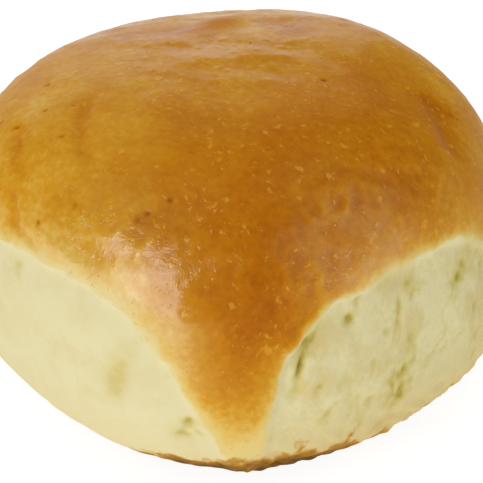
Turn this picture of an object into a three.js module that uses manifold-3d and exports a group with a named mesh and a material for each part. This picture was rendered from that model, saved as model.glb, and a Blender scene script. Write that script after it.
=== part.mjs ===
// A soft dinner roll from a tray that rose and baked with its sides touching. One domed, egg-washed crust
// drapes down over four corners. Between the corners are four pale walls of bare crumb, where the
// neighbouring rolls were torn away. Millimetres, +Z up, standing on its flat baked base.

import * as THREE from 'three';
import Module from 'manifold-3d';
import { mergeVertices } from 'three/addons/utils/BufferGeometryUtils.js';

// Driving sizes of the roll
const WIDTH_X = 66.4; // across the two torn walls that face along X
const WIDTH_Y = 73.8; // across the two torn walls that face along Y
const HEIGHT = 47;
const WAIST_HEIGHT = 22.4; // the widest level of the roll
const BASE_CUT = 0.5; // how much of the rounded underside the baking tray flattens
const SQUARENESS = 2.6; // power of the plan outline: 2 is an oval, large is a box
const CROWN_SHIFT_X = -3.9; // the crown leans over, as the roll rose towards the open side
const CROWN_SHIFT_Y = -4.2;

// Powers of the side profile, where a larger one turns a squarer shoulder or heel
const SHOULDER_AT_WALL = 3.4;
const SHOULDER_AT_CORNER = 2.75;
const HEEL_AT_CORNER = 3.4;
const HEEL_AT_WALL_X = 3.15;
const HEEL_AT_WALL_Y = 2.85;

// The crust's lower edge is an arch over each wall, from one corner to the next, going round the roll
const FIRST_CORNER = -135;
const ARCHES = [
  { crown: -94, height: 33.6, power: 5.4 },
  { crown: -3, height: 31, power: 4.2 },
  { crown: 91, height: 33, power: 4.6 },
  { crown: 178, height: 34, power: 4.6 },
];
const ARCH_FOOT = -1; // height at which two arches would meet at a corner, under the tongue's end
const TONGUE_ENDS = [11, 9.4, 12.5, 10]; // how low the crust's tongue reaches at each corner

// Bells by which the edge was pulled up or down as the neighbours tore away: place and spread in degrees
const PULLS = [
  { round: -34.3, spread: 2.4, rise: 2.3 },
  { round: -15, spread: 5, rise: -0.8 },
];

const CRUST_LIP = 0.8; // how far the crust's edge stands out over the torn crumb
const LIP_GONE = 8; // the lip thins out down the tongues, to nothing at this height of the edge
const LIP_WHOLE = 22;
const LIP_DROP = 0.8; // height of the step from the crust down to the crumb
const LIP_FADE = 5; // how far down the wall the crumb comes out level again

// Broad rises and hollows of the whole form: place and spread in degrees, rise in millimetres
const SWELLS = [
  { round: 170, latitude: 45, spread: 22, rise: -0.45 },
  { round: 85, latitude: 45, spread: 22, rise: 0.55 },
  { round: 50, latitude: 30, spread: 20, rise: -0.85 },
  { round: -90, latitude: -30, spread: 22, rise: 0.95 },
  { round: 0, latitude: -30, spread: 22, rise: 0.9 },
  { round: -27, latitude: -48, spread: 12, rise: 0.7 },
  { round: 118, latitude: 44, spread: 12, rise: -0.4 },
  { round: -56, latitude: 21, spread: 8.5, rise: 0.6 },
  { round: -54, latitude: 1, spread: 13, rise: 0.8 },
  { round: -22, latitude: 19, spread: 7, rise: -0.35 },
  { round: 134, latitude: 57, spread: 5, rise: 0.5 },
];

// Creases in the crust, each between two places given as degrees round and degrees of latitude
const CREASES = [
  { from: [52, 35], to: [29, 27], width: 2, depth: 0.55 },
  { from: [-113, 38], to: [-93, 30], width: 1.8, depth: 0.4 },
  { from: [-96, 28], to: [-91, 21], width: 1.8, depth: 0.35 },
  { from: [-106, 53], to: [-79, 38], width: 1.8, depth: 0.3 },
  { from: [-171, 52], to: [150, 60], width: 2.4, depth: 0.5 },
  { from: [118, 52], to: [84, 58], width: 2.4, depth: 0.45 },
];

// Holes and dimples torn in the walls: degrees round, height, then half width, half height and depth
const TEARS = [
  { round: -66.5, height: 21.5, wide: 1.9, tall: 3.6, deep: 0.4 },
  { round: -30.5, height: 22.4, wide: 1.5, tall: 3.4, deep: 1.1 },
  { round: -7.5, height: 14.8, wide: 2.4, tall: 2.4, deep: 0.3 },
  { round: 17.5, height: 25.5, wide: 1.7, tall: 1.7, deep: 0.5 },
  { round: 72, height: 20, wide: 1.8, tall: 3.4, deep: 0.4 },
  { round: 104, height: 15, wide: 2.4, tall: 2, deep: 0.35 },
  { round: 118, height: 22, wide: 1.6, tall: 2.8, deep: 0.5 },
  { round: 160, height: 24, wide: 1.6, tall: 3.4, deep: 0.45 },
  { round: -165, height: 14, wide: 2.2, tall: 2.2, deep: 0.35 },
];
const CRUMB_RELIEF = 0.25; // rise of the soft lumps all over the torn crumb
const CRUMB_LUMP = 11; // distance from one lump to the next

// Squares of the skin along each side, up each side, and how many of those rows are torn wall
const SQUARES_ALONG = 32;
const SQUARES_UP = 28;
const WALL_ROWS = 12;
const HEEL_LATITUDE = -50; // degrees below the waist where the walls turn under the roll
const TRAY_SIZE = 200; // side of the block that cuts the base flat

const CRUST_COLOUR = 0xbc8a3e;
const CRUST_ROUGHNESS = 0.35;

const { abs, atan2, cos, exp, hypot, max, min, PI, sin, tan } = Math;
const radians = THREE.MathUtils.degToRad;
const mix = THREE.MathUtils.lerp;
const clamp = THREE.MathUtils.clamp;

// Smallest turn from one angle to another round the roll, with its sign
function turn(from, to) {
  return atan2(sin(to - from), cos(to - from));
}

// Unit arrow from the middle of the waist, for an angle round the roll and a latitude above the waist
function arrow(round, latitude) {
  return new THREE.Vector3(cos(latitude) * cos(round), cos(latitude) * sin(round), sin(latitude));
}

// Distance from the upright axis to the outline at the waist
function waistRadius(round) {
  const across = (2 * abs(cos(round))) / WIDTH_X;
  const along = (2 * abs(sin(round))) / WIDTH_Y;
  return (across ** SQUARENESS + along ** SQUARENESS) ** (-1 / SQUARENESS);
}

function profilePower(round, above) {
  if (above) return mix(SHOULDER_AT_WALL, SHOULDER_AT_CORNER, sin(2 * round) ** 2);
  const facesX = max(cos(2 * round), 0);
  const facesY = max(-cos(2 * round), 0);
  const corner = 1 - facesX - facesY;
  return HEEL_AT_CORNER * corner + HEEL_AT_WALL_X * facesX + HEEL_AT_WALL_Y * facesY;
}

function profileHeight(above) {
  return above ? HEIGHT - WAIST_HEIGHT : WAIST_HEIGHT + BASE_CUT;
}

// Distance from the middle of the waist to the smooth form along an arrow: a superellipse profile
function formRadius(round, latitude) {
  const above = latitude >= 0;
  const power = profilePower(round, above);
  const outward = cos(latitude) / waistRadius(round);
  const upward = abs(sin(latitude)) / profileHeight(above);
  return (outward ** power + upward ** power) ** (-1 / power);
}

// Latitude at which the smooth form passes a height
function latitudeAt(round, height) {
  const above = height >= WAIST_HEIGHT;
  const power = profilePower(round, above);
  const upward = abs(height - WAIST_HEIGHT) / profileHeight(above);
  return atan2(height - WAIST_HEIGHT, waistRadius(round) * (1 - upward ** power) ** (1 / power));
}

function edgePull(round) {
  let rise = 0;
  for (const pull of PULLS) {
    rise += pull.rise * exp(-((turn(radians(pull.round), round) / radians(pull.spread)) ** 2));
  }
  return rise;
}

// Height of the crust's lower edge: an arch falls from its crown towards each end of its wall, with the
// pulls, and stops at the end of the tongue there
function edgeHeight(round) {
  const quarter = PI / 2;
  const start = radians(FIRST_CORNER);
  const along = (round - start + 2 * PI) % (2 * PI);
  const wall = min(Math.floor(along / quarter), ARCHES.length - 1);
  const arch = ARCHES[wall];
  const crown = radians(arch.crown) - start - wall * quarter;
  const place = along - wall * quarter;
  const nearStart = place < crown;
  const fall = nearStart ? 1 - place / crown : (place - crown) / (quarter - crown);
  const tongue = TONGUE_ENDS[Math.round(along / quarter) % ARCHES.length];
  const height = arch.height - (arch.height - ARCH_FOOT) * fall ** arch.power;
  return max(height + edgePull(round), tongue);
}

function swellRise(round, latitude) {
  const here = arrow(round, latitude);
  let rise = 0;
  for (const swell of SWELLS) {
    const apart = here.angleTo(arrow(radians(swell.round), radians(swell.latitude)));
    rise += swell.rise * exp(-((apart / radians(swell.spread)) ** 2));
  }
  return rise;
}

// Depth of the creases at a place, from its distance to each crease's line over the surface. A crease
// is shallower towards both of its ends.
function creaseDepth(round, latitude, radius) {
  let depth = 0;
  for (const crease of CREASES) {
    const [fromRound, fromLatitude] = crease.from.map(radians);
    const [toRound, toLatitude] = crease.to.map(radians);
    const shrink = cos(fromLatitude);
    const line = new THREE.Vector2(turn(fromRound, toRound) * shrink, toLatitude - fromLatitude);
    const place = new THREE.Vector2(turn(fromRound, round) * shrink, latitude - fromLatitude);
    const share = clamp(place.dot(line) / line.lengthSq(), 0, 1);
    const apart = radius * place.sub(line.multiplyScalar(share)).length();
    depth += crease.depth * (1 - (2 * share - 1) ** 4) * exp(-((apart / crease.width) ** 2));
  }
  return depth;
}

// Lumps all over the torn crumb, from -1 to 1: two crossed waves, and finer ones at half their height
function crumbLumps(along, height) {
  const wave = (2 * PI) / CRUMB_LUMP;
  const coarse = sin(wave * along + sin(0.6 * wave * height)) * sin(0.8 * wave * height + 2);
  const fine = sin(1.9 * wave * along + 4) * sin(1.7 * wave * height + 1);
  return (2 * coarse + fine) / 3;
}

// How far the torn crumb stands in from the smooth form: under the crust's lip, in lumps and in tears.
// The lip thins out towards the tips of the tongues.
function crumbDepth(round, height, below) {
  const radius = waistRadius(round);
  const overhang = CRUST_LIP * clamp((height + below - LIP_GONE) / (LIP_WHOLE - LIP_GONE), 0, 1);
  const settled = clamp(below / LIP_FADE, 0, 1) * clamp(height / LIP_FADE, 0, 1);
  let depth = overhang * min(below / LIP_DROP, 1) * exp(-((below / LIP_FADE) ** 2));
  depth += CRUMB_RELIEF * settled * crumbLumps(radius * round, height);
  for (const tear of TEARS) {
    const aside = (radius * turn(radians(tear.round), round)) / tear.wide;
    const up = (height - tear.height) / tear.tall;
    depth += tear.deep * clamp(below / LIP_DROP, 0, 1) * exp(-(aside ** 2) - up ** 2);
  }
  return depth;
}

// Place of the roll's skin for an angle round it and a latitude above its waist
function skin(round, latitude) {
  const smooth = formRadius(round, latitude);
  const height = WAIST_HEIGHT + smooth * sin(latitude);
  const below = edgeHeight(round) - height;
  const depth = below > 0 ? crumbDepth(round, height, below) : creaseDepth(round, latitude, smooth);
  const radius = smooth + swellRise(round, latitude) - depth;
  const point = arrow(round, latitude).multiplyScalar(radius);
  point.z += WAIST_HEIGHT;
  point.x += (CROWN_SHIFT_X * point.z) / HEIGHT;
  point.y += (CROWN_SHIFT_Y * point.z) / HEIGHT;
  return point;
}

// Latitude for a point of the box grid, so that one row of squares runs along the crust's edge
function gridLatitude(round, x, y, z) {
  const reach = hypot(tan((x * PI) / 4), tan((y * PI) / 4));
  const plain = atan2(tan((z * PI) / 4), reach);
  const corner = atan2(max(abs(cos(round)), abs(sin(round))), 1);
  const heel = radians(HEEL_LATITUDE);
  const onWall = max(abs(x), abs(y)) > 1 - 1e-6;
  if (!onWall && z > 0) return plain;
  if (!onWall) return mix(heel, -PI / 2, (plain + corner) / (corner - PI / 2));
  const edge = latitudeAt(round, edgeHeight(round));
  const foot = latitudeAt(round, edgeHeight(round) - LIP_DROP);
  const row = ((z + 1) / 2) * SQUARES_UP;
  if (row <= WALL_ROWS - 1) return mix(heel, foot, row / (WALL_ROWS - 1));
  if (row <= WALL_ROWS) return mix(foot, edge, row - WALL_ROWS + 1);
  return mix(edge, corner, (row - WALL_ROWS) / (SQUARES_UP - WALL_ROWS));
}

// A box of squares, blown up onto the skin
function skinGeometry() {
  let box = new THREE.BoxGeometry(2, 2, 2, SQUARES_ALONG, SQUARES_ALONG, SQUARES_UP);
  box.deleteAttribute('normal');
  box.deleteAttribute('uv');
  box = mergeVertices(box);
  const points = box.getAttribute('position');
  const corner = new THREE.Vector3();
  for (let i = 0; i < points.count; i++) {
    corner.fromBufferAttribute(points, i);
    const round = atan2(tan((corner.y * PI) / 4), tan((corner.x * PI) / 4));
    const place = skin(round, gridLatitude(round, corner.x, corner.y, corner.z));
    points.setXYZ(i, place.x, place.y, place.z);
  }
  return box;
}

function solidOf(kernel, geometry) {
  const merged = geometry.clone();
  merged.deleteAttribute('normal');
  merged.deleteAttribute('uv');
  const closed = mergeVertices(merged);
  const vertProperties = new Float32Array(closed.getAttribute('position').array);
  const triVerts = new Uint32Array(closed.getIndex().array);
  return new kernel.Manifold(new kernel.Mesh({ numProp: 3, vertProperties, triVerts }));
}

function geometryOf(solid) {
  const mesh = solid.getMesh();
  const geometry = new THREE.BufferGeometry();
  geometry.setAttribute('position', new THREE.BufferAttribute(mesh.vertProperties, 3));
  geometry.setIndex(new THREE.BufferAttribute(mesh.triVerts, 1));
  geometry.computeVertexNormals();
  return geometry;
}

// The roll with its underside cut flat at the tray, centred over the origin
function rollGeometry(kernel) {
  const tray = new THREE.BoxGeometry(TRAY_SIZE, TRAY_SIZE, TRAY_SIZE).translate(0, 0, -TRAY_SIZE / 2);
  const roll = geometryOf(solidOf(kernel, skinGeometry()).subtract(solidOf(kernel, tray)));
  roll.computeBoundingBox();
  const middle = roll.boundingBox.getCenter(new THREE.Vector3());
  return roll.translate(-middle.x, -middle.y, 0);
}

const kernel = await Module();
kernel.setup();

const crust = new THREE.MeshStandardMaterial({
  color: CRUST_COLOUR,
  roughness: CRUST_ROUGHNESS,
  metalness: 0,
});
const roll = new THREE.Mesh(rollGeometry(kernel), crust);
roll.name = 'bread_roll';

const model = new THREE.Group();
model.add(roll);

export default model;
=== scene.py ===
from math import cos, pi, radians, sin

import bpy
import numpy as np
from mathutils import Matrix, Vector


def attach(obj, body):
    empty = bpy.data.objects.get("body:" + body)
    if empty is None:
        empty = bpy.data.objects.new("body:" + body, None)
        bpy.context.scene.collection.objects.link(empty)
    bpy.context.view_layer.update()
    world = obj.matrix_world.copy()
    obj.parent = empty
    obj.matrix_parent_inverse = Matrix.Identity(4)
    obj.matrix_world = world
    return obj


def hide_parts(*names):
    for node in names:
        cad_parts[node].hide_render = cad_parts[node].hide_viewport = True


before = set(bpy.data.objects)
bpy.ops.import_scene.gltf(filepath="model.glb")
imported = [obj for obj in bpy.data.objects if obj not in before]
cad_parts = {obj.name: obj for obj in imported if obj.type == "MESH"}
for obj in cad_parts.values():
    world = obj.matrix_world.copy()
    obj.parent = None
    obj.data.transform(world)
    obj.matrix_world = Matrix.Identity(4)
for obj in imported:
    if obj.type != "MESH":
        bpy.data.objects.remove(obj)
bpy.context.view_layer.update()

# The camera
# It looks at the roll's near corner from a hand's reach away and a third of the way up, so one torn
# wall runs off to each side and the crust's tongue points straight at it.
CAMERA_AIM = Vector((0.0007, -0.0001, 0.0206))
CAMERA_PLACE = Vector((0.1885, -0.1782, 0.1724))
CAMERA_LENS_MM = 162

camera_data = bpy.data.cameras.new("camera")
camera_data.lens = CAMERA_LENS_MM
camera_data.clip_start = 0.01
camera = bpy.data.objects.new("camera", camera_data)
camera.location = CAMERA_PLACE
camera.rotation_euler = (CAMERA_AIM - CAMERA_PLACE).to_track_quat("-Z", "Y").to_euler()
bpy.context.collection.objects.link(camera)
bpy.context.scene.camera = camera
bpy.context.scene.view_settings.view_transform = "Standard"

# The form of the dough
# Soft dough that rose against its neighbours on four sides and bulged up free above them: a rounded
# box low down and a dome on top. The dome leans to the side where it had the most room.
WIDTH_X = 66.4  # millimetres, as are all sizes of the roll
WIDTH_Y = 73.8
HEIGHT = 47.0
WAIST = 22.4
BASE_CUT = 0.5
SQUARENESS = 2.6
CROWN_SHIFT = (-3.9, -4.2)
SHOULDER_WALL, SHOULDER_CORNER = 3.4, 2.75
HEEL_CORNER, HEEL_WALL_X, HEEL_WALL_Y = 3.4, 3.15, 2.85
SWELLS = (  # degrees round, latitude, spread in degrees, rise
    (170, 45, 22, -0.45),
    (85, 45, 22, 0.55),
    (50, 30, 20, -0.85),
    (-90, -30, 22, 0.95),
    (0, -30, 22, 0.9),
    (-27, -48, 12, 0.7),
    (118, 44, 12, -0.4),
    (-56, 21, 8.5, 0.6),
    (-54, 1, 13, 0.8),
    (-22, 19, 7, -0.35),
    (134, 57, 5, 0.5),
)


def turned(start, end):
    """The turn from one angle to another, brought into half a turn either way."""
    return np.arctan2(np.sin(end - start), np.cos(end - start))


def arrows(round_, latitude):
    """Unit arrows from the middle of the waist: east, north and up, as on a globe."""
    level = np.cos(latitude)
    return np.stack([level * np.cos(round_), level * np.sin(round_), np.sin(latitude)], -1)


def waist_radius(round_):
    """A superellipse: the two half widths, each divided by its share of the direction, summed by power."""
    across = np.abs(np.cos(round_)) * 2 / WIDTH_X
    along = np.abs(np.sin(round_)) * 2 / WIDTH_Y
    return (across**SQUARENESS + along**SQUARENESS) ** (-1 / SQUARENESS)


def smooth_radius(round_, latitude):
    """A superellipse again, upright: the waist radius and the height above or below it, by a power that
    is higher at the walls than at the corners, so the shoulders over the walls are squarer."""
    above = latitude >= 0
    corner = np.sin(2 * round_) ** 2
    faces_x = np.maximum(np.cos(2 * round_), 0)
    faces_y = np.maximum(-np.cos(2 * round_), 0)
    heel = HEEL_CORNER * (1 - faces_x - faces_y) + HEEL_WALL_X * faces_x + HEEL_WALL_Y * faces_y
    shoulder = SHOULDER_WALL + (SHOULDER_CORNER - SHOULDER_WALL) * corner
    power = np.where(above, shoulder, heel)
    rise = np.where(above, HEIGHT - WAIST, WAIST + BASE_CUT)
    outward = np.cos(latitude) / waist_radius(round_)
    upward = np.abs(np.sin(latitude)) / rise
    return (outward**power + upward**power) ** (-1 / power)


def apart(directions, round_, latitude):
    """Degrees between arrows and one place, from the arc cosine of their product."""
    place = arrows(np.radians(round_), np.radians(latitude))
    return np.degrees(np.arccos(np.clip(directions @ place, -1, 1)))


def swell_rise(directions):
    """Rounded mounds: each falls off from its middle as a bell of its spread."""
    rise = np.zeros(len(directions))
    for round_, latitude, spread, height in SWELLS:
        rise += height * np.exp(-((apart(directions, round_, latitude) / spread) ** 2))
    return rise


SLOPES = 4096
MIXERS = np.array((73856093, 19349663, 83492791))  # large primes that spread the cubes over the slopes


def lumps(places, size, seed):
    """Soft random lumps from about -1 to 1: the corners of cubes of one size hold random slopes, and a
    place blends the slopes of its cube's eight corners, eased so that no seam shows."""
    slopes = np.random.default_rng(seed).normal(size=(SLOPES, 3))
    cell = np.floor(places / size).astype(np.int64)
    inside = places / size - cell
    ease = inside**3 * (inside * (inside * 6 - 15) + 10)
    total = np.zeros(len(places))
    for corner in np.ndindex(2, 2, 2):
        slope = slopes[(cell + corner) @ MIXERS % SLOPES]
        share = np.prod(np.where(corner, ease, 1 - ease), axis=1)
        total += share * np.sum(slope * (inside - corner), axis=1)
    return total * 1.1


# The edge of the crust
# Crust forms only where the dough met hot air, so it stops in an arch over each torn wall and runs
# down each corner in a tongue, where the neighbouring rolls left a gap.
FIRST_CORNER = -135
ARCHES = (  # degrees to the crown, its height, power of the fall
    (-94, 33.6, 5.4),
    (-3, 31.0, 4.2),
    (91, 33.0, 4.6),
    (178, 34.0, 4.6),
)
ARCH_FOOT = -1.0
PULLS = ((-34.3, 2.4, 2.3), (-15, 5, -0.8))  # degrees round, spread, rise of the pulled edge
TONGUE_ENDS = (11.0, 9.4, 12.5, 10.0)  # the height that each corner's tongue reaches down to
TONGUE_FADE = 0.35
EDGE_WANDER, EDGE_FRAY = 0.45, 0.25
EDGE_POINTS = 1440
AT_ONCE = 8192


def edge_height(round_):
    """Each arch falls from its crown by a power of the way to the corner at either end of its wall, and
    is pulled up or down in bells as its neighbours tore away."""
    along = (round_ - radians(FIRST_CORNER)) % (2 * pi)
    wall = np.minimum((along // (pi / 2)).astype(int), 3)
    arches = np.array(ARCHES)
    crown = np.radians(arches[wall, 0] - FIRST_CORNER) - wall * pi / 2
    place = along - wall * pi / 2
    before = place < crown
    fall = np.where(before, 1 - place / crown, (place - crown) / (pi / 2 - crown))
    height = arches[wall, 1] - (arches[wall, 1] - ARCH_FOOT) * fall ** arches[wall, 2]
    for pulled, spread, rise in PULLS:
        height = height + rise * np.exp(-((np.degrees(turned(radians(pulled), round_)) / spread) ** 2))
    return height


def on_form(round_, height):
    """The place on the smooth form at an angle and a height, found by halving the latitude's range."""
    low, high = np.full(round_.shape, -pi / 2), np.full(round_.shape, pi / 2)
    for _ in range(24):
        middle = (low + high) / 2
        under = WAIST + smooth_radius(round_, middle) * np.sin(middle) < height
        low, high = np.where(under, middle, low), np.where(under, high, middle)
    return arrows(round_, low) * smooth_radius(round_, low)[:, None] + (0, 0, WAIST)


def above_edge(round_, places):
    """Millimetres from the nearest point of the crust's edge line, counted positive on the crust and
    negative on the crumb, with a little wander. On a tongue it is a share of the height over its end if
    that is less, so the tip fades out."""
    turn = np.linspace(-pi, pi, EDGE_POINTS, endpoint=False)
    line = on_form(turn, edge_height(turn))
    corner = np.round((round_ - radians(FIRST_CORNER)) / (pi / 2)).astype(int) % 4
    over_end = TONGUE_FADE * (places[:, 2] - np.array(TONGUE_ENDS)[corner])
    nearest = np.empty(len(places))
    for start in range(0, len(places), AT_ONCE):
        some = places[start : start + AT_ONCE]
        squares = (some**2).sum(1)[:, None] + (line**2).sum(1) - 2 * some @ line.T
        nearest[start : start + AT_ONCE] = np.sqrt(np.maximum(squares.min(1), 0))
    over = np.where(places[:, 2] > edge_height(round_), nearest, -nearest)
    over = np.minimum(over, over_end)
    return over + EDGE_WANDER * lumps(places, 4.0, 11) + EDGE_FRAY * lumps(places, 1.8, 12)


# The skin
# One closed sheet of small squares wraps the roll: a band round the four sides, a square patch over
# the crown, and rings under the base that close in its middle.
ALONG = 148
UP = 120
UNDER = 10
HEEL_LATITUDE = radians(-50)


def skin_grid():
    """Angle and latitude of every point, and the faces between them. The band's columns are even turns,
    its rows even steps from heel to rim. The patch is a cube's top face thrown onto the globe."""
    columns = 4 * ALONG
    turn = radians(FIRST_CORNER) + np.arange(columns) * (2 * pi / columns)
    rim = np.arctan(np.maximum(np.abs(np.cos(turn)), np.abs(np.sin(turn))))
    rise = np.linspace(0, 1, UP + 1)[:, None]
    band = HEEL_LATITUDE + (rim - HEEL_LATITUDE) * rise
    under = -pi / 2 + (HEEL_LATITUDE + pi / 2) * (np.arange(1, UNDER) / UNDER)[:, None]
    latitude = np.vstack([under + 0 * turn, band])
    rows = len(latitude)
    round_ = np.broadcast_to(turn, latitude.shape)

    row, column = np.meshgrid(np.arange(rows - 1), np.arange(columns), indexing="ij")
    here = row * columns + column
    beside = row * columns + (column + 1) % columns
    sides = np.stack([here, beside, beside + columns, here + columns], -1).reshape(-1, 4)

    inner = np.linspace(-1, 1, ALONG + 1)[1:-1]
    x, y = np.meshgrid(np.tan(inner * pi / 4), np.tan(inner * pi / 4), indexing="ij")
    top_round = np.arctan2(y, x).ravel()
    top_latitude = np.arctan(1 / np.maximum(np.hypot(x, y), 1e-9)).ravel()

    patch = np.empty((ALONG + 1, ALONG + 1), int)
    first = (rows - 1) * columns
    side = np.arange(ALONG)
    patch[side, 0] = first + side
    patch[ALONG, side] = first + ALONG + side
    patch[ALONG - side, ALONG] = first + 2 * ALONG + side
    patch[0, ALONG - side] = first + 3 * ALONG + side
    patch[1:-1, 1:-1] = rows * columns + np.arange((ALONG - 1) ** 2).reshape(ALONG - 1, -1)
    crown = np.stack([patch[:-1, :-1], patch[1:, :-1], patch[1:, 1:], patch[:-1, 1:]], -1).reshape(-1, 4)

    centre = rows * columns + (ALONG - 1) ** 2
    ring = np.arange(columns)
    middle = np.stack([np.full(columns, centre), (ring + 1) % columns, ring], -1)

    all_round = np.concatenate([round_.ravel(), top_round, [0.0]])
    all_latitude = np.concatenate([latitude.ravel(), top_latitude, [-pi / 2]])
    return all_round, all_latitude, np.vstack([sides, crown]), middle


round_, latitude, squares, fan = skin_grid()
arrow = arrows(round_, latitude)
smooth = smooth_radius(round_, latitude)
form = arrow * smooth[:, None] + (0, 0, WAIST)
over_edge = above_edge(round_, form)
height = form[:, 2]

# The crust
# An egg-washed skin baked golden brown. It stands a little proud of the crumb at its edge, and it has
# dried in creases, soft folds behind the crown, low blisters and a fine crackle where it shines.
CRUST_LIP = 0.8
LIP_GONE, LIP_WHOLE = 8, 22  # the lip thins out down the tongues, between these heights of the edge
LIP_DROP, LIP_FADE = 0.9, 5.0  # how far down the wall the step is whole, and comes out level again
CREASES = (  # from and to in degrees round and latitude, half width, depth
    ((52, 35), (29, 27), 2.0, 0.55),
    ((-113, 38), (-93, 30), 1.0, 0.5),
    ((-96, 28), (-91, 21), 0.8, 0.45),
    ((-95, 22.2), (-84, 19.6), 0.5, 0.35),
    ((-106, 53), (-79, 38), 0.9, 0.4),
    ((-171, 52), (150, 60), 2.4, 0.5),
    ((118, 52), (84, 58), 2.4, 0.45),
)
PINHOLES = (  # degrees round, latitude
    (-61.5, 30.2),
    (-59.6, 31.8),
    (-55, 35),
    (-77, 29.8),
    (-85, 24.2),
    (-94.5, 42),
    (-112, 36.6),
    (-112, 43.4),
    (-131, 44.8),
    (36, 58.6),
    (47, 29),
    (95, 40),
    (150, 33),
    (-170, 28),
)
PINHOLE_SIZE = 0.32
PINHOLE_DEPTH = 0.3
FOLDS_MIDDLE, FOLDS_SPREAD = (130, 62), 34
FOLDS_ALONG = (0.69, 0.72, 0)
FOLDS_ACROSS = (-0.72, 0.69, 0)
FOLD_RISE, FOLD_RIPPLE = 0.34, 0.1
WAVE, PEEL, GRAIN = 0.22, 0.07, 0.03  # rises of the broad waves, the orange peel and the grain
RIDGE, WRINKLE = 0.08, 0.2
CRACKLED = ((-24, 17, 12), (-58, 26, 9), (14, 30, 11), (-12, 31, 12))  # degrees round, latitude, spread
BLISTERS = 420
BLISTER_SIZES = (0.45, 0.95)
BLISTER_RISES = (0.03, 0.1)


def crease_depth(round_, latitude, smooth):
    """A groove along a straight line over angle and latitude: a bell of its half width across, and
    shallower towards both of its ends."""
    depth = np.zeros(len(round_))
    for start, end, width, deep in CREASES:
        (start_round, start_latitude), (end_round, end_latitude) = np.radians(start), np.radians(end)
        level = cos(start_latitude)
        line = np.array((turned(start_round, end_round) * level, end_latitude - start_latitude))
        place = np.stack([turned(start_round, round_) * level, latitude - start_latitude], -1)
        share = np.clip(place @ line / (line @ line), 0, 1)
        aside = smooth * np.linalg.norm(place - share[:, None] * line, axis=1)
        depth += deep * (1 - (2 * share - 1) ** 4) * np.exp(-((aside / width) ** 2))
    return depth


def pinhole_share(arrow, smooth):
    """How deep in a pinhole a place is, from 0 to 1: a narrow bell round each one."""
    share = np.zeros(len(arrow))
    for round_, latitude in PINHOLES:
        aside = np.radians(apart(arrow, round_, latitude)) * smooth
        share = np.maximum(share, np.exp(-((aside / PINHOLE_SIZE) ** 2)))
    return share


def ridged(places, size, seed):
    """Thin winding ridges along the lines where soft lumps pass through zero."""
    return np.clip(1 - 3 * np.abs(lumps(places, size, seed)), 0, 1) ** 2


def crackled(arrow):
    """How crackled the crust is, from 0 to 1: a bell round each place that dried fastest."""
    share = np.zeros(len(arrow))
    for round_, latitude, spread in CRACKLED:
        share = np.maximum(share, np.exp(-((apart(arrow, round_, latitude) / spread) ** 2)))
    return share


def blister_rise(form):
    """Low bells of air under the skin, at seeded random places on the dome."""
    draw = np.random.default_rng(51)
    turn = draw.uniform(-pi, pi, BLISTERS)
    lift = np.arcsin(draw.uniform(sin(radians(12)), 1, BLISTERS))
    places = arrows(turn, lift) * smooth_radius(turn, lift)[:, None] + (0, 0, WAIST)
    sizes = draw.uniform(*BLISTER_SIZES, BLISTERS)
    rises = draw.uniform(*BLISTER_RISES, BLISTERS)
    rise = np.zeros(len(form))
    for place, size, high in zip(places, sizes, rises):
        rise += high * np.exp(-((form - place) ** 2).sum(1) / (size / 1.5) ** 2)
    return rise


def fold_rise(form, arrow):
    """Soft lumps drawn out sideways, on the part of the crown behind its middle."""
    behind = np.exp(-((apart(arrow, *FOLDS_MIDDLE) / FOLDS_SPREAD) ** 4))
    drawn = np.stack([form @ FOLDS_ALONG * 0.5, form @ FOLDS_ACROSS, form[:, 2]], -1)
    return behind * (FOLD_RISE * lumps(drawn, 4.6, 24) + FOLD_RIPPLE * lumps(drawn, 2.2, 25))


def wrinkle_rise(form, arrow):
    """Winding wrinkles, a little lumps and a little ridges, in the places that dried fastest."""
    bent = form + 0.7 * np.stack([lumps(form, 2.6, seed) for seed in (26, 27, 28)], -1)
    return crackled(arrow) * (RIDGE * ridged(bent, 2.8, 29) + WRINKLE * lumps(bent, 1.6, 30))


def crust_rise(form, arrow):
    """Broad waves, orange peel and fine grain, with the folds and the blisters on them."""
    rise = WAVE * lumps(form, 13.0, 21) + PEEL * lumps(form, 4.0, 22) + GRAIN * lumps(form, 1.8, 23)
    return rise + fold_rise(form, arrow) + blister_rise(form)


# The torn walls
# Bare crumb, pulled apart while soft: a shallow step in under the crust, then strands that lean the
# way they were pulled, lumps, and small holes between them. The first wall tore smoothest.
STRAND_LEAN = radians(38)
STRAND_STRETCH = 2.1
SOFT_RELIEF, STRAND_RELIEF, GRAIN_RELIEF, FOOT_RELIEF = 0.22, 0.12, 0.08, 0.4
FOOT_HEIGHT, FOOT_EASE = 13, 4  # the lumps of the foot fade out up to this height
COARSENESS = (0.3, 1.0, 0.8, 0.9)  # of each wall, counted round from the first corner
PITS = (8, 22, 20, 18)  # on each wall
PIT_ASIDE, PIT_HEIGHTS = (-24, 24), (10, 28)
PIT_WIDTHS, PIT_STRETCHES, PIT_DEPTHS = (0.35, 0.8), (1, 2.2), (0.08, 0.34)
SETTLED = 1.5  # how far below the crust the crumb's own relief is whole
TEAR_LEAN = 0.4
OPEN_CRUMB = (  # degrees round, height, half width, half height, how much deeper its yellow
    (-7, 15, 3.4, 3.0, 0.4),
    (-29, 24, 2.2, 2.6, 0.25),
    (17, 25.5, 2.6, 2.2, 0.25),
    (1, 27, 2.0, 2.0, 0.3),
    (-54, 14.5, 1.8, 1.8, 0.4),
    (-92, 30, 2.0, 1.2, 0.2),
    (-67, 21, 1.8, 3.6, 0.1),
    (102, 16, 3.4, 3.0, 0.3),
    (-166, 15, 3.0, 3.0, 0.3),
)
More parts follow.
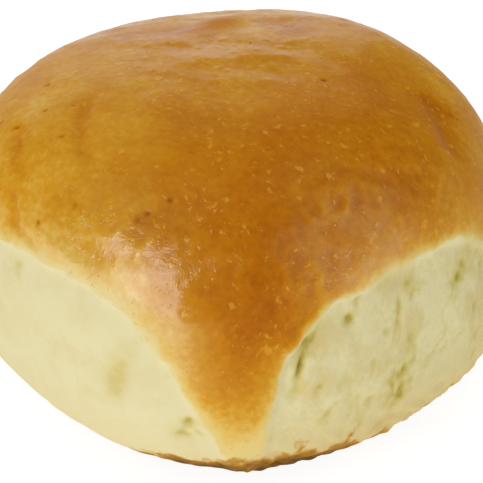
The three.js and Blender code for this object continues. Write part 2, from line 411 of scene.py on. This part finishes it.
TEARS = (  # degrees round, height, half width, half height, depth
    (-66.5, 21.5, 1.7, 3.6, 0.42),
    (-54, 15.8, 0.6, 0.7, 0.5),
    (-56, 13.4, 1.2, 0.8, 0.35),
    (-91, 31.2, 0.9, 0.6, 0.25),
    (-28.8, 25.6, 1.3, 1.1, 0.5),
    (-30.7, 22.4, 0.5, 1.9, 0.85),
    (-32.3, 18.8, 1.2, 1.3, 0.4),
    (-7.5, 14.6, 2.4, 2.4, 0.12),
    (-9.5, 15.6, 0.6, 0.5, 0.25),
    (-6, 13.6, 0.7, 0.5, 0.28),
    (-4.5, 16.6, 0.5, 0.6, 0.25),
    (-8.5, 12.8, 0.6, 0.4, 0.25),
    (-2.5, 14.2, 0.5, 0.4, 0.2),
    (-15.5, 14.0, 0.9, 0.9, 0.45),
    (16, 24.6, 0.8, 0.8, 0.5),
    (18.5, 26.2, 1.3, 1.2, 0.3),
    (0.3, 28.3, 0.9, 0.7, 0.3),
    (-14.8, 29.4, 0.5, 2.0, 0.4),
    (-5, 23.8, 0.6, 3.0, 0.3),
    (72, 20, 1.2, 3.4, 0.4),
    (104, 15, 2.4, 2.0, 0.35),
    (118, 22, 0.7, 2.8, 0.6),
    (160, 24, 1.0, 3.4, 0.45),
    (-165, 14, 2.2, 2.2, 0.35),
    (172, 15, 0.8, 2.4, 0.4),
)


def wall_of(round_):
    """The number of the wall that an angle falls on, counted round from the first corner."""
    along = (round_ - radians(FIRST_CORNER)) % (2 * pi)
    return np.minimum((along // (pi / 2)).astype(int), 3)


def wall_places(form, wall):
    """Across and along the strands of a wall: its level and upright directions, leaned together."""
    level = form[:, 0] * np.cos(wall * pi / 2) + form[:, 1] * np.sin(wall * pi / 2)
    across = level * cos(STRAND_LEAN) - form[:, 2] * sin(STRAND_LEAN)
    return across, level * sin(STRAND_LEAN) + form[:, 2] * cos(STRAND_LEAN)


def ovals(round_, height, places, lean):
    """Oval bells on the wall, each with its own width round and up, leaned over by a slope."""
    total = np.zeros(len(round_))
    for place, level, wide, tall, deep in places:
        aside = waist_radius(round_) * turned(radians(place), round_) - lean * (height - level)
        total += deep * np.exp(-((aside / wide) ** 2) - ((height - level) / tall) ** 2)
    return total


def pit_depth(round_, across, along, wall):
    """Small bells at seeded random places of each wall, drawn out along the strands."""
    draw = np.random.default_rng(61)
    depth = np.zeros(len(across))
    for number, count in enumerate(PITS):
        for _ in range(count):
            level, height = draw.uniform(*PIT_ASIDE), draw.uniform(*PIT_HEIGHTS)
            width, stretch = draw.uniform(*PIT_WIDTHS), draw.uniform(*PIT_STRETCHES)
            deep = draw.uniform(*PIT_DEPTHS)
            here = level * cos(STRAND_LEAN) - height * sin(STRAND_LEAN)
            there = level * sin(STRAND_LEAN) + height * cos(STRAND_LEAN)
            aside = ((across - here) / width) ** 2 + ((along - there) / (width * stretch)) ** 2
            depth += (wall == number) * deep * COARSENESS[number] * np.exp(-aside)
    return depth


def crumb_depth(round_, form, below):
    """The step in under the crust's lip, eased out down the wall, with the tears, pits, strands and
    lumps. It gives the depth, and from 0 to 1 the painted shade of the holes, pits and gaps between
    strands, with the deeper yellow of the open patches."""
    wall = wall_of(round_)
    coarse = np.array(COARSENESS)[wall]
    across, along = wall_places(form, wall)
    overhang = CRUST_LIP * np.clip((edge_height(round_) - LIP_GONE) / (LIP_WHOLE - LIP_GONE), 0, 1)
    step = overhang * np.clip(below / LIP_DROP, 0, 1) * np.exp(-((below / LIP_FADE) ** 2))
    settled = np.clip(below / SETTLED, 0, 1)
    swayed = across + 1.6 * lumps(form, 6.5, 37) + 0.6 * lumps(form, 2.8, 38)
    drawn = np.stack([swayed, along / STRAND_STRETCH, 40.0 * wall], -1)
    parted = np.clip(2 * lumps(form, 6.0, 35) + 0.3, 0, 1)
    strands = 1.6 * parted * ridged(drawn, 3.2, 31) + 0.4 * lumps(drawn, 1.6, 34)
    soft = SOFT_RELIEF * lumps(form, 7.0, 32)
    soft += coarse * (STRAND_RELIEF * strands + GRAIN_RELIEF * lumps(form, 2.2, 33))
    tears = ovals(round_, form[:, 2], TEARS, TEAR_LEAN)
    pits = pit_depth(round_, across, along, wall) * np.clip(below, 0, 1)
    holes = tears * np.clip(below, 0, 1) + pits
    patch = ovals(round_, form[:, 2], OPEN_CRUMB, TEAR_LEAN) * (0.8 + 1.3 * lumps(form, 1.3, 36))
    # Painted shade: holes, pits and the gaps between strands are coloured darker olive; the open patches
    # add the crumb's own deeper yellow.
    hollow_shade_and_yellow = np.clip(holes + 0.7 * pits + patch + 0.22 * coarse * np.clip(strands - 0.35, 0, 1), 0, 1)
    foot = FOOT_RELIEF * coarse * lumps(form, 2.0, 39)
    foot *= np.clip((FOOT_HEIGHT - form[:, 2]) / FOOT_EASE, 0, 1)
    return step + settled * (soft + foot) + holes, hollow_shade_and_yellow


# The baked base
# The underside lay on the tray, so it browned, and its brown climbs the heel with a ragged edge. It
# climbs highest round the near corner, and in flakes up the coarser walls.
BASE_BROWN = 6.4
BASE_BROWN_NEAR = 3.0
NEAR_CORNER, NEAR_SPREAD = radians(-45), 26
BASE_RAGGED = 1.6
FLAKES = 3.6
BROWN_FADE = 4.0


def base_brown(round_, form):
    """How brown the heel is, from 0 to 1: the height under a wandering line, over four millimetres."""
    near = np.exp(-((np.degrees(turned(NEAR_CORNER, round_)) / NEAR_SPREAD) ** 4))
    line = BASE_BROWN + BASE_BROWN_NEAR * near
    line += BASE_RAGGED * lumps(form, 4.5, 71) + 0.8 * BASE_RAGGED * lumps(form, 1.7, 72)
    coarse = np.array(COARSENESS)[wall_of(round_)]
    line += FLAKES * coarse * np.clip(lumps(form * (1, 1, 0.5), 3.4, 73) - 0.15, 0, 1)
    return np.clip((line - form[:, 2]) / BROWN_FADE, 0, 1)


on_crust = np.clip(over_edge / 0.5, 0, 1)
below = np.maximum(-over_edge, 0)
depth, hollow_shade_and_yellow = crumb_depth(round_, form, below)
brown = base_brown(round_, form)
radius = smooth + swell_rise(arrow)
pinholes = pinhole_share(arrow, smooth)
creases = crease_depth(round_, latitude, smooth)
wrinkles = wrinkle_rise(form, arrow)
radius += on_crust * (crust_rise(form, arrow) + wrinkles - creases)
radius -= PINHOLE_DEPTH * pinholes
radius -= depth * (over_edge < 0)

skin = arrow * radius[:, None]
skin[:, 2] = np.maximum(skin[:, 2] + WAIST, 0)
skin[:, 0] += CROWN_SHIFT[0] * skin[:, 2] / HEIGHT
skin[:, 1] += CROWN_SHIFT[1] * skin[:, 2] / HEIGHT
skin[:, :2] -= (skin.min(0) + skin.max(0))[:2] / 2

# How dark the crust baked
# The crust browned to caramel over the right of the near corner and down its tongue, and the tongue
# carries painted shade as well. The left side, the thin edge over the crumb and the tongues' ends stayed
# gold, and a painted highlight lightens the foot of the left sheen.
BAKED = (  # degrees round, latitude, spread in degrees, how much darker
    (-20, 38, 30, 0.28),
    (30, 40, 22, 0.14),
    # partly a darker bake, partly painted shade on the tongue
    (-36, 10, 14, 0.3),
    (-95, 34, 26, -0.08),
    # painted highlight: lighter where the left sheen runs down the tongue's side
    (-53, 9, 8, -0.2),
    # partly a paler bake, partly painted highlight where the left sheen fades
    (-69, 21, 14, -0.17),
    (-65, 35, 13, 0.07),
    (-28, 33, 10, 0.04),
    # painted shade on the upper part of the tongue
    (-38, 22, 13, 0.02),
    (134, 58, 5, 0.14),
)
PALE_EDGE, PALE_EDGE_REACH = 0.32, 3.5  # how much paler, and over how many millimetres from the edge
PALE_RIM, PALE_RIM_REACH = 0.22, 0.9
PALE_LOW, LOW_BELOW, LOW_EASE = 0.26, 20, 12  # how much paler, under which height, and how gradually
CLOUDS, MOTTLES = 0.06, 0.04
# Painted shade darkens the creases, the pin holes and the wrinkles' valleys, and painted light pales the
# wrinkles' ridges; the blisters are paler in their own colour.
CREASE_PAINTED_SHADE, CREASE_SHADE_FULL, BLISTER_BAKE, PINHOLE_PAINTED_SHADE, WRINKLE_PAINTED_SHADE = 0.36, 0.35, 0.8, 0.5, 0.8
inward = over_edge.clip(0)
bake = np.full(len(form), 0.5)
for place_round, place_latitude, spread, darker in BAKED:
    bake += darker * np.exp(-((apart(arrow, place_round, place_latitude) / spread) ** 2))
bake -= PALE_EDGE * np.exp(-inward / PALE_EDGE_REACH) + PALE_RIM * np.exp(-((inward / PALE_RIM_REACH) ** 2))
bake -= PALE_LOW * np.clip((LOW_BELOW - height) / LOW_EASE, 0, 1)
bake += CLOUDS * lumps(form, 9.0, 41) + MOTTLES * lumps(form, 3.0, 42)
# Painted shade in the creases, pin holes and wrinkles; the blisters' own paler colour
bake += CREASE_PAINTED_SHADE * np.minimum(creases, CREASE_SHADE_FULL) - BLISTER_BAKE * blister_rise(form)
bake += PINHOLE_PAINTED_SHADE * pinholes - WRINKLE_PAINTED_SHADE * wrinkles

# How glossy the egg wash dried
# Brushed on with a soft brush, it lay thickest over the near corner's left side. A few places took it
# in and stayed dull.
GLOSSY = (  # degrees round, latitude, spread, share of the full gloss
    (-64, 19, 21, 1.0),
    (-14, 27, 17, 0.75),
    (140, 60, 45, 0.42),
)
GLOSS_LEAST = 0.02
DULL = ((-34, 8, 14), (-42, 8, 8), (36, 32, 24), (134, 57, 7))  # degrees round, latitude, spread
DULLED = 0.8
gloss = np.zeros(len(form))
for place_round, place_latitude, spread, share in GLOSSY:
    gloss = np.maximum(gloss, share * np.exp(-((apart(arrow, place_round, place_latitude) / spread) ** 4)))
gloss = GLOSS_LEAST + (1 - GLOSS_LEAST) * gloss
for place_round, place_latitude, spread in DULL:
    gloss *= 1 - DULLED * np.exp(-((apart(arrow, place_round, place_latitude) / spread) ** 4))

# The mesh of the roll
# The skin's points and faces as one closed piece, with the fields that its material reads.
LOW_SHADE_HEIGHT, LOW_SHADE_EASE = 17, 12  # under this height the crumb takes painted shade, darker and warmer
mesh = bpy.data.meshes.new("roll")
corners = np.concatenate([squares.ravel(), fan.ravel()])
sizes = np.concatenate([np.full(len(squares), 4), np.full(len(fan), 3)])
mesh.vertices.add(len(skin))
mesh.vertices.foreach_set("co", (skin / 1000).ravel())
mesh.loops.add(len(corners))
mesh.loops.foreach_set("vertex_index", corners)
mesh.polygons.add(len(sizes))
mesh.polygons.foreach_set("loop_start", np.concatenate([[0], np.cumsum(sizes)[:-1]]))
mesh.polygons.foreach_set("loop_total", sizes)
mesh.update(calc_edges=True)
mesh.validate()
mesh.shade_smooth()
coarseness = np.array(COARSENESS)[wall_of(round_)]
fields = {
    "over_edge": over_edge,
    "bake": bake,
    "hollow_shade_and_yellow": hollow_shade_and_yellow,
    "brown": brown,
    "crackle": crackled(arrow),
    "coarse": coarseness,
    # Painted shade: towards the foot of the walls the crumb is coloured darker and warmer.
    "low": np.maximum(coarseness, 0.4) * np.clip((LOW_SHADE_HEIGHT - height) / LOW_SHADE_EASE, 0, 0.8),
    "gloss": gloss,
}
for name, values in fields.items():
    mesh.attributes.new(name, "FLOAT", "POINT").data.foreach_set("value", values.astype(np.float32))
roll = bpy.data.objects.new("roll", mesh)
bpy.context.collection.objects.link(roll)

# The colours and the shine
# Egg wash over browned dough shines, with small pale specks where blisters burst and a few pin
# holes darkened with painted shade. The crumb is cream and dull, with painted shade in its holes and
# low down its walls, and deeper yellow in its open patches. The base is toasted brown.
CRUST_COLOURS = (
    (0.0, (222, 197, 120)),
    (0.2, (222, 182, 86)),
    (0.4, (210, 150, 32)),
    (0.6, (196, 125, 8)),
    (0.8, (181, 104, 0)),
    (1.0, (158, 82, 0)),
)
# Cream crumb darkening to olive: painted shade in the holes, and the crumb's own deeper yellow in open
# patches
SHADE_AND_YELLOW_COLOURS = (
    (0.0, (224, 213, 167)),
    (0.3, (214, 199, 137)),
    (0.6, (193, 175, 95)),
    (1.0, (158, 136, 36)),
)
BROWN_COLOURS = (
    (0.0, (218, 180, 98)),
    (0.3, (188, 138, 54)),
    (0.65, (146, 100, 32)),
    (1.0, (104, 70, 18)),
)
SPECK_COLOUR, SPECK_SHARE = (230, 168, 48), 0.46
# dark dots of painted shade in pin holes
PIN_SHADE_COLOUR, PIN_SHADE_SHARE = (110, 62, 10), 0.55
# The peach colour is the crumb's own tone in its coarse patches, and also the painted shade low down the
# walls.
PEACH_AND_SHADE_COLOUR, PEACH_SHARE = (208, 182, 118), 0.45
MOTTLED, FRECKLED = 0.3, 0.34  # how far clouds and freckles shift the crust's bake
PORED, CLOUDED = 0.5, 0.36  # how far pores and clouds shift the crumb's painted hollow shade and yellow
SATIN, DRY = 0.5, 0.92  # roughness of the crust and of the crumb


def linear(red, green, blue):
    """A colour as seen on screen, 0 to 255, turned into light: the sRGB curve undone."""
    share = np.array((red, green, blue)) / 255
    light = np.where(share > 0.04045, ((share + 0.055) / 1.055) ** 2.4, share / 12.92)
    return (*light.tolist(), 1)


def roll_material():
    material = bpy.data.materials.new("baked roll")
    material.use_nodes = True
    nodes, links = material.node_tree.nodes, material.node_tree.links
    shader = nodes["Principled BSDF"]
    where = nodes.new("ShaderNodeTexCoord").outputs["Object"]

    def put(value, socket):
        if isinstance(value, bpy.types.NodeSocket):
            links.new(value, socket)
        else:
            socket.default_value = value

    def attribute(name):
        node = nodes.new("ShaderNodeAttribute")
        node.attribute_name = name
        return node.outputs["Fac"]

    def math(operation, first, second=0.0, third=0.0):
        node = nodes.new("ShaderNodeMath")
        node.operation = operation
        for value, socket in zip((first, second, third), node.inputs):
            put(value, socket)
        return node.outputs["Value"]

    def ramp(value, stops):
        node = nodes.new("ShaderNodeValToRGB")
        elements = node.color_ramp.elements
        while len(elements) < len(stops):
            elements.new(0.5)
        for element, (position, colour) in zip(elements, stops):
            element.position = position
            element.color = linear(*colour)
        put(value, node.inputs["Fac"])
        return node.outputs["Color"]

    def between(value, low, high):
        node = nodes.new("ShaderNodeMapRange")
        node.interpolation_type = "SMOOTHSTEP"
        node.inputs["From Min"].default_value = low
        node.inputs["From Max"].default_value = high
        put(value, node.inputs["Value"])
        return node.outputs["Result"]

    def blend(share, first, second):
        node = nodes.new("ShaderNodeMix")
        node.data_type = "RGBA"
        put(share, node.inputs["Factor"])
        put(first, node.inputs["A"])
        put(second, node.inputs["B"])
        return node.outputs["Result"]

    def noise(size, detail=2.0, bend=0.0):
        """Cloudy noise from 0 to 1, with features of one size in millimetres."""
        node = nodes.new("ShaderNodeTexNoise")
        node.inputs["Scale"].default_value = 1000 / size
        node.inputs["Detail"].default_value = detail
        node.inputs["Distortion"].default_value = bend
        put(where, node.inputs["Vector"])
        return node.outputs["Fac"]

    def shaken(size, reach):
        """The place, moved a little every way by a noise of its own, so that dots come out ragged."""
        cloud = nodes.new("ShaderNodeTexNoise")
        cloud.inputs["Scale"].default_value = 1000 / size
        put(where, cloud.inputs["Vector"])
        centred = nodes.new("ShaderNodeVectorMath")
        centred.operation = "SUBTRACT"
        put(cloud.outputs["Color"], centred.inputs[0])
        centred.inputs[1].default_value = (0.5, 0.5, 0.5)
        moved = nodes.new("ShaderNodeVectorMath")
        moved.operation = "MULTIPLY_ADD"
        put(centred.outputs["Vector"], moved.inputs[0])
        moved.inputs[1].default_value = (reach / 1000,) * 3
        put(where, moved.inputs[2])
        return moved.outputs["Vector"]

    def dots(spacing, share, size):
        """Round dots in a share of the cells of a scattered grid, up to one size, all in millimetres."""
        cells = nodes.new("ShaderNodeTexVoronoi")
        cells.inputs["Scale"].default_value = 1000 / spacing
        put(ragged, cells.inputs["Vector"])
        chance = nodes.new("ShaderNodeSeparateColor")
        put(cells.outputs["Color"], chance.inputs["Color"])
        chosen = math("SUBTRACT", chance.outputs["Red"], 1 - share)
        reach = math("MULTIPLY", chosen, size / spacing / share)
        inside = math("SUBTRACT", reach, cells.outputs["Distance"])
        return between(inside, 0.0, 0.5 * size / spacing)

    # Pale specks in two sizes and in flecks, and a few dark dots of painted shade in pin holes
    ragged = shaken(0.9, 1.6)
    flecks = math("MULTIPLY", between(noise(0.8, 2.0), 0.6, 0.73), between(noise(9.0), 0.38, 0.56))
    specks = math("MAXIMUM", dots(2.4, 0.6, 0.8), dots(1.2, 0.5, 0.45))
    specks = math("MAXIMUM", specks, flecks)
    pin_shade = dots(4.0, 0.2, 0.42)

    # The crust's colour: its bake, mottled and freckled, under the specks and the pin holes' painted shade
    mottle = math("SUBTRACT", noise(7.0, 3.0), 0.5)
    freckle = math("SUBTRACT", noise(0.9, 4.0), 0.5)
    baked = math("MULTIPLY_ADD", mottle, MOTTLED, attribute("bake"))
    baked = math("MULTIPLY_ADD", freckle, FRECKLED, baked)
    crust = ramp(baked, CRUST_COLOURS)
    crust = blend(math("MULTIPLY", specks, SPECK_SHARE), crust, linear(*SPECK_COLOUR))
    crust = blend(math("MULTIPLY", pin_shade, PIN_SHADE_SHARE), crust, linear(*PIN_SHADE_COLOUR))

    # The crumb's colour: painted shade in its holes, yellow in its open patches, pores and clouds, peach
    # where it is coarse, and painted shade low down the walls
    pores = math("SUBTRACT", noise(0.9, 4.0), 0.5)
    cloud = math("SUBTRACT", noise(4.0, 3.0), 0.5)
    coarse = attribute("coarse")
    hollow_shade_and_yellow = math("MULTIPLY_ADD", math("MULTIPLY", pores, coarse), PORED, attribute("hollow_shade_and_yellow"))
    hollow_shade_and_yellow = math("MULTIPLY_ADD", cloud, CLOUDED, hollow_shade_and_yellow)
    crumb = ramp(hollow_shade_and_yellow, SHADE_AND_YELLOW_COLOURS)
    peach_and_shade = math("MULTIPLY", between(noise(6.0, 3.0), 0.46, 0.66), math("MULTIPLY", coarse, PEACH_SHARE))
    # The painted shade low down the walls joins the peach patches.
    peach_and_shade = math("MULTIPLY", math("MAXIMUM", peach_and_shade, attribute("low")), between(hollow_shade_and_yellow, 0.6, 0.2))
    crumb = blend(peach_and_shade, crumb, linear(*PEACH_AND_SHADE_COLOUR))

    # Crust above its edge line, crumb below it, and toasted brown over both at the heel
    is_crust = between(attribute("over_edge"), -0.4, 0.5)
    surface = blend(is_crust, crumb, crust)
    toast = math("MULTIPLY_ADD", pores, 0.7, attribute("brown"))
    is_brown = math("MULTIPLY", between(toast, 0.02, 0.35), between(attribute("brown"), 0.0, 0.12))
    links.new(blend(is_brown, surface, ramp(toast, BROWN_COLOURS)), shader.inputs["Base Color"])

    # Satin crust under a patchy coat of egg wash, and dry crumb
    shiny = math("MULTIPLY", is_crust, math("SUBTRACT", 1.0, is_brown))
    links.new(math("MULTIPLY_ADD", shiny, SATIN - DRY, DRY), shader.inputs["Roughness"])
    patchy = math("MULTIPLY_ADD", between(noise(3.2, 3.0), 0.34, 0.54), 0.5, 0.5)
    coated = math("MULTIPLY", attribute("gloss"), patchy)
    links.new(math("MULTIPLY", shiny, coated), shader.inputs["Coat Weight"])
    shader.inputs["Coat Roughness"].default_value = 0.15
    shader.inputs["Coat IOR"].default_value = 1.9
    shader.inputs["Specular IOR Level"].default_value = 0.1

    # The fine relief: grain, specks, crackle and pin holes on the crust, and pores in the crumb
    lines = math("ABSOLUTE", math("SUBTRACT", noise(0.8, 5.0), 0.5))
    crackle = math("MULTIPLY", between(lines, 0.08, 0.0), attribute("crackle"))
    crust_relief = math("MULTIPLY_ADD", noise(0.8, 2.0), 0.3, math("MULTIPLY", specks, 0.7))
    crust_relief = math("MULTIPLY_ADD", crackle, -0.22, crust_relief)
    crust_relief = math("MULTIPLY_ADD", pin_shade, -1.0, crust_relief)
    crumb_relief = math("MULTIPLY", pores, math("MULTIPLY_ADD", coarse, 0.9, 0.3))
    height_mix = nodes.new("ShaderNodeMix")
    put(shiny, height_mix.inputs["Factor"])
    put(crumb_relief, height_mix.inputs["A"])
    put(crust_relief, height_mix.inputs["B"])
    bump = nodes.new("ShaderNodeBump")
    bump.inputs["Strength"].default_value = 0.8
    bump.inputs["Distance"].default_value = 0.0001
    put(height_mix.outputs["Result"], bump.inputs["Height"])
    links.new(bump.outputs["Normal"], shader.inputs["Normal"])
    links.new(bump.outputs["Normal"], shader.inputs["Coat Normal"])
    return material


mesh.materials.append(roll_material())
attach(roll, "root")
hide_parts("bread_roll")

# The table
# A plain white board, lit so evenly that it keeps almost no shadow.
FLOOR_SIZE = 12.0
bpy.ops.mesh.primitive_plane_add(size=FLOOR_SIZE)
floor = bpy.context.object
floor.name = "floor"
floor_material = bpy.data.materials.new("white board")
floor_material.use_nodes = True
board = floor_material.node_tree.nodes["Principled BSDF"]
board.inputs["Base Color"].default_value = (0.25, 0.25, 0.25, 1)
board.inputs["Roughness"].default_value = 0.9
board.inputs["Emission Color"].default_value = (1, 1, 1, 1)
board.inputs["Emission Strength"].default_value = 0.9
floor.data.materials.append(floor_material)

# The studio lights
# A tall softbox to the left of the camera, a weaker one on the right and a lit wall behind, which all
# mirror in the crust, and soft fills from the right and overhead that don't.


def softbox(name, turn, rise, reach, wide, tall, power, mirrored=True, colour=(1, 1, 1)):
    """An area light on a globe round the roll, turned from -Y towards +X and facing its middle. Where it
    isn't mirrored, it lights the roll without a reflection."""
    light = bpy.data.lights.new(name, "AREA")
    light.shape = "RECTANGLE"
    light.size = wide
    light.size_y = tall
    light.energy = power
    light.color = colour
    turn, rise = radians(turn), radians(rise)
    out = Vector((sin(turn) * cos(rise), -cos(turn) * cos(rise), sin(rise)))
    box = bpy.data.objects.new(name, light)
    box.location = CAMERA_AIM + out * reach
    box.rotation_euler = out.to_track_quat("Z", "Y").to_euler()
    box.visible_camera = False
    box.visible_glossy = mirrored
    bpy.context.collection.objects.link(box)


softbox("left softbox", 19.5, 20, 0.8, 0.74, 1.0, 4.95)
softbox("right softbox", 116, 26, 0.8, 0.8, 0.8, 1.05, colour=(0.95, 1.0, 0.6))
softbox("wall behind", -125, 16, 1.0, 0.9, 0.5, 1.5)
softbox("right fill", 140, 20, 0.8, 0.8, 0.6, 0.95, mirrored=False)
softbox("overhead fill", -100, 68, 0.8, 1.0, 1.0, 4.35, mirrored=False)

world = bpy.data.worlds.new("room")
world.use_nodes = True
world.node_tree.nodes["Background"].inputs["Color"].default_value = (1, 1, 1, 1)
world.node_tree.nodes["Background"].inputs["Strength"].default_value = 0.05
bpy.context.scene.world = world

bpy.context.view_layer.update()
